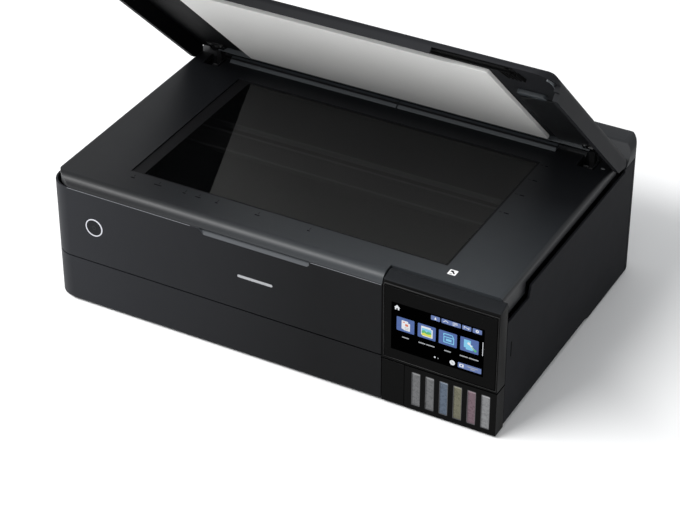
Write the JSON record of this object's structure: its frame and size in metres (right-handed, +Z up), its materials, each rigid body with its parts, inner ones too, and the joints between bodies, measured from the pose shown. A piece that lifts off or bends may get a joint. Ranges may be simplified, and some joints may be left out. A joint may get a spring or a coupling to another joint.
{
  "type": "inkjet printer",
  "caption": "Wide desktop inkjet printer with flatbed scanner, hinged lid, tilting control panel, refillable ink tanks and a front paper drawer.",
  "frame": {"origin": "middle of the footprint on the surface that the rubber feet stand on", "axes": "+X to the printer right seen from the front, +Y to its back, +Z up"},
  "size_m": [0.523, 0.356, 0.3614],
  "materials": {
    "base_plastic": "moulded, matte",
    "case_black": "fine-grained moulded plastic, satin",
    "rubber": "soft moulded rubber",
    "belt_rubber": "ribbed belt",
    "gloss_black": "polished",
    "dark_plastic": "moulded, satin",
    "steel": "brushed",
    "hinge_plastic": "moulded, satin",
    "board": "lacquered circuit board",
    "scan_glass": "clear, polished",
    "mat_white": "smooth foam-backed sheet",
    "ink_1": "clear tank holding ink",
    "cap_1": "moulded",
    "ink_2": "clear tank holding ink",
    "cap_2": "moulded",
    "ink_3": "clear tank holding ink",
    "cap_3": "moulded",
    "ink_4": "clear tank holding ink",
    "cap_4": "moulded",
    "ink_5": "clear tank holding ink",
    "cap_5": "moulded",
    "ink_6": "clear tank holding ink",
    "cap_6": "moulded"
  },
  "bodies": {
    "base": {"base_tray": "base_plastic", "rubber_foot_1": "rubber", "rubber_foot_2": "rubber", "rubber_foot_3": "rubber", "rubber_foot_4": "rubber", "left_side_cover": "case_black", "right_side_cover": "case_black", "rear_cover": "case_black", "port_panel": "dark_plastic", "power_inlet": "gloss_black", "front_cover": "case_black", "tank_housing": "gloss_black", "tank_filler_panel": "gloss_black", "ink_tank_1": "ink_1", "ink_tank_2": "ink_2", "ink_tank_3": "ink_3", "ink_tank_4": "ink_4", "ink_tank_5": "ink_5", "ink_tank_6": "ink_6", "head_rail": "steel", "timing_belt": "belt_rubber", "carriage_motor": "steel", "platen": "base_plastic", "power_supply": "base_plastic", "main_board": "board", "rear_deck": "case_black"},
    "scanner_unit": {"scanner_frame": "case_black", "scanner_glass": "scan_glass", "scanner_bed": "base_plastic", "scan_rail": "steel"},
    "scan_head": {"scan_carriage": "dark_plastic"},
    "lid_hinges": {"hinge_post_left": "hinge_plastic", "hinge_post_right": "hinge_plastic"},
    "lid": {"lid_shell": "case_black", "document_mat": "mat_white", "hinge_arm_left": "hinge_plastic", "hinge_arm_right": "hinge_plastic"},
    "control_panel": {"panel_housing": "gloss_black", "panel_glass": "gloss_black"},
    "button": {"power_button": "dark_plastic"},
    "cassette": {"paper_cassette": "base_plastic"},
    "cassette_guide_l": {"cassette_guide_left": "dark_plastic"},
    "cassette_guide_r": {"cassette_guide_right": "dark_plastic"},
    "flap": {"front_flap": "case_black"},
    "tray": {"output_tray": "dark_plastic"},
    "head": {"print_head": "base_plastic"},
    "idler": {"belt_idler": "steel"},
    "drive_pulley": {"belt_pulley": "steel"},
    "roller": {"feed_roller": "steel"},
    "waste_box": {"maintenance_box": "base_plastic"},
    "feed_cover": {"rear_feed_cover": "case_black"},
    "support": {"paper_support": "dark_plastic"},
    "guide_l": {"feed_guide_left": "dark_plastic"},
    "guide_r": {"feed_guide_right": "dark_plastic"},
    "cap_1": {"ink_cap_1": "cap_1"},
    "cap_2": {"ink_cap_2": "cap_2"},
    "cap_3": {"ink_cap_3": "cap_3"},
    "cap_4": {"ink_cap_4": "cap_4"},
    "cap_5": {"ink_cap_5": "cap_5"},
    "cap_6": {"ink_cap_6": "cap_6"}
  },
  "joints": [
    {"name": "scanner_unit_hinge", "type": "hinge", "parent": "base", "child": "scanner_unit", "pos_m": [0, 0.121, 0.142], "axis": [-1, 0, 0], "range_deg": [0, 22]},
    {"name": "scan_head_slide", "type": "slide", "parent": "scanner_unit", "child": "scan_head", "axis": [1, 0, 0], "range_m": [0, 0.44]},
    {"name": "lid_lift", "type": "slide", "parent": "scanner_unit", "child": "lid_hinges", "axis": [0, 0, 1], "range_m": [0, 0.012]},
    {"name": "lid_hinge", "type": "hinge", "parent": "lid_hinges", "child": "lid", "pos_m": [0, 0.117, 0.1402], "axis": [-1, 0, 0], "range_deg": [-44.6, 8]},
    {"name": "panel_tilt", "type": "hinge", "parent": "base", "child": "control_panel", "pos_m": [0, -0.1675, 0.1485], "axis": [-1, 0, 0], "range_deg": [0, 60]},
    {"name": "power_button_press", "type": "slide", "parent": "base", "child": "button", "axis": [0, 1, 0], "range_m": [0, 0.001], "stiffness_N_per_m": 600},
    {"name": "cassette_slide", "type": "slide", "parent": "base", "child": "cassette", "axis": [0, -1, 0], "range_m": [0, 0.15]},
    {"name": "flap_hinge", "type": "hinge", "parent": "cassette", "child": "flap", "pos_m": [0, -0.17, 0.01], "axis": [1, 0, 0], "range_deg": [0, 88]},
    {"name": "tray_slide", "type": "slide", "parent": "base", "child": "tray", "axis": [0, -1, 0], "range_m": [0, 0.1586]},
    {"name": "cassette_guide_l_slide", "type": "slide", "parent": "cassette", "child": "cassette_guide_l", "axis": [1, 0, 0], "range_m": [0, 0.06]},
    {"name": "cassette_guide_r_slide", "type": "slide", "parent": "cassette", "child": "cassette_guide_r", "axis": [-1, 0, 0], "range_m": [0, 0.0601]},
    {"name": "ink_cap_1_hinge", "type": "hinge", "parent": "base", "child": "cap_1", "pos_m": [0, -0.084, 0.0815], "axis": [-1, 0, 0], "range_deg": [0, 85]},
    {"name": "ink_cap_2_hinge", "type": "hinge", "parent": "base", "child": "cap_2", "pos_m": [0, -0.084, 0.0815], "axis": [-1, 0, 0], "range_deg": [0, 85]},
    {"name": "ink_cap_3_hinge", "type": "hinge", "parent": "base", "child": "cap_3", "pos_m": [0, -0.084, 0.0815], "axis": [-1, 0, 0], "range_deg": [0, 85]},
    {"name": "ink_cap_4_hinge", "type": "hinge", "parent": "base", "child": "cap_4", "pos_m": [0, -0.084, 0.0815], "axis": [-1, 0, 0], "range_deg": [0, 85]},
    {"name": "ink_cap_5_hinge", "type": "hinge", "parent": "base", "child": "cap_5", "pos_m": [0, -0.084, 0.0815], "axis": [-1, 0, 0], "range_deg": [0, 85]},
    {"name": "ink_cap_6_hinge", "type": "hinge", "parent": "base", "child": "cap_6", "pos_m": [0, -0.084, 0.0815], "axis": [-1, 0, 0], "range_deg": [0, 85]},
    {"name": "print_head_slide", "type": "slide", "parent": "base", "child": "head", "axis": [-1, 0, 0], "range_m": [0, 0.29]},
    {"name": "idler_spin", "type": "hinge", "parent": "base", "child": "idler", "pos_m": [-0.235, 0.012, 0.1], "axis": [0, 1, 0], "range_deg": [-2800, 0]},
    {"name": "pulley_spin", "type": "hinge", "parent": "base", "child": "drive_pulley", "pos_m": [0.14, 0.012, 0.1], "axis": [0, 1, 0], "range_deg": [-2800, 0]},
    {"name": "roller_spin", "type": "hinge", "parent": "base", "child": "roller", "pos_m": [0, 0.014, 0.06], "axis": [1, 0, 0], "continuous": true},
    {"name": "waste_box_slide", "type": "slide", "parent": "base", "child": "waste_box", "axis": [0, 1, 0], "range_m": [0, 0.09]},
    {"name": "feed_cover_hinge", "type": "hinge", "parent": "base", "child": "feed_cover", "pos_m": [0, 0.172, 0.165], "axis": [-1, 0, 0], "range_deg": [0, 100.1]},
    {"name": "support_slide", "type": "slide", "parent": "base", "child": "support", "axis": [0, 0, 1], "range_m": [0, 0.12]},
    {"name": "guide_l_slide", "type": "slide", "parent": "base", "child": "guide_l", "axis": [1, 0, 0], "range_m": [0, 0.11]},
    {"name": "guide_r_slide", "type": "slide", "parent": "base", "child": "guide_r", "axis": [-1, 0, 0], "range_m": [0, 0.1101]}
  ],
  "couplings": [
    {"joint": "tray_slide", "follows": "flap_hinge", "m_per_rad": 0.10313},
    {"joint": "cassette_guide_r_slide", "follows": "cassette_guide_l_slide", "ratio": 1},
    {"joint": "idler_spin", "follows": "print_head_slide", "rad_per_m": -156.25},
    {"joint": "pulley_spin", "follows": "print_head_slide", "rad_per_m": -156.25},
    {"joint": "feed_cover_hinge", "follows": "support_slide", "rad_per_m": 14.544},
    {"joint": "guide_r_slide", "follows": "guide_l_slide", "ratio": 1}
  ]
}
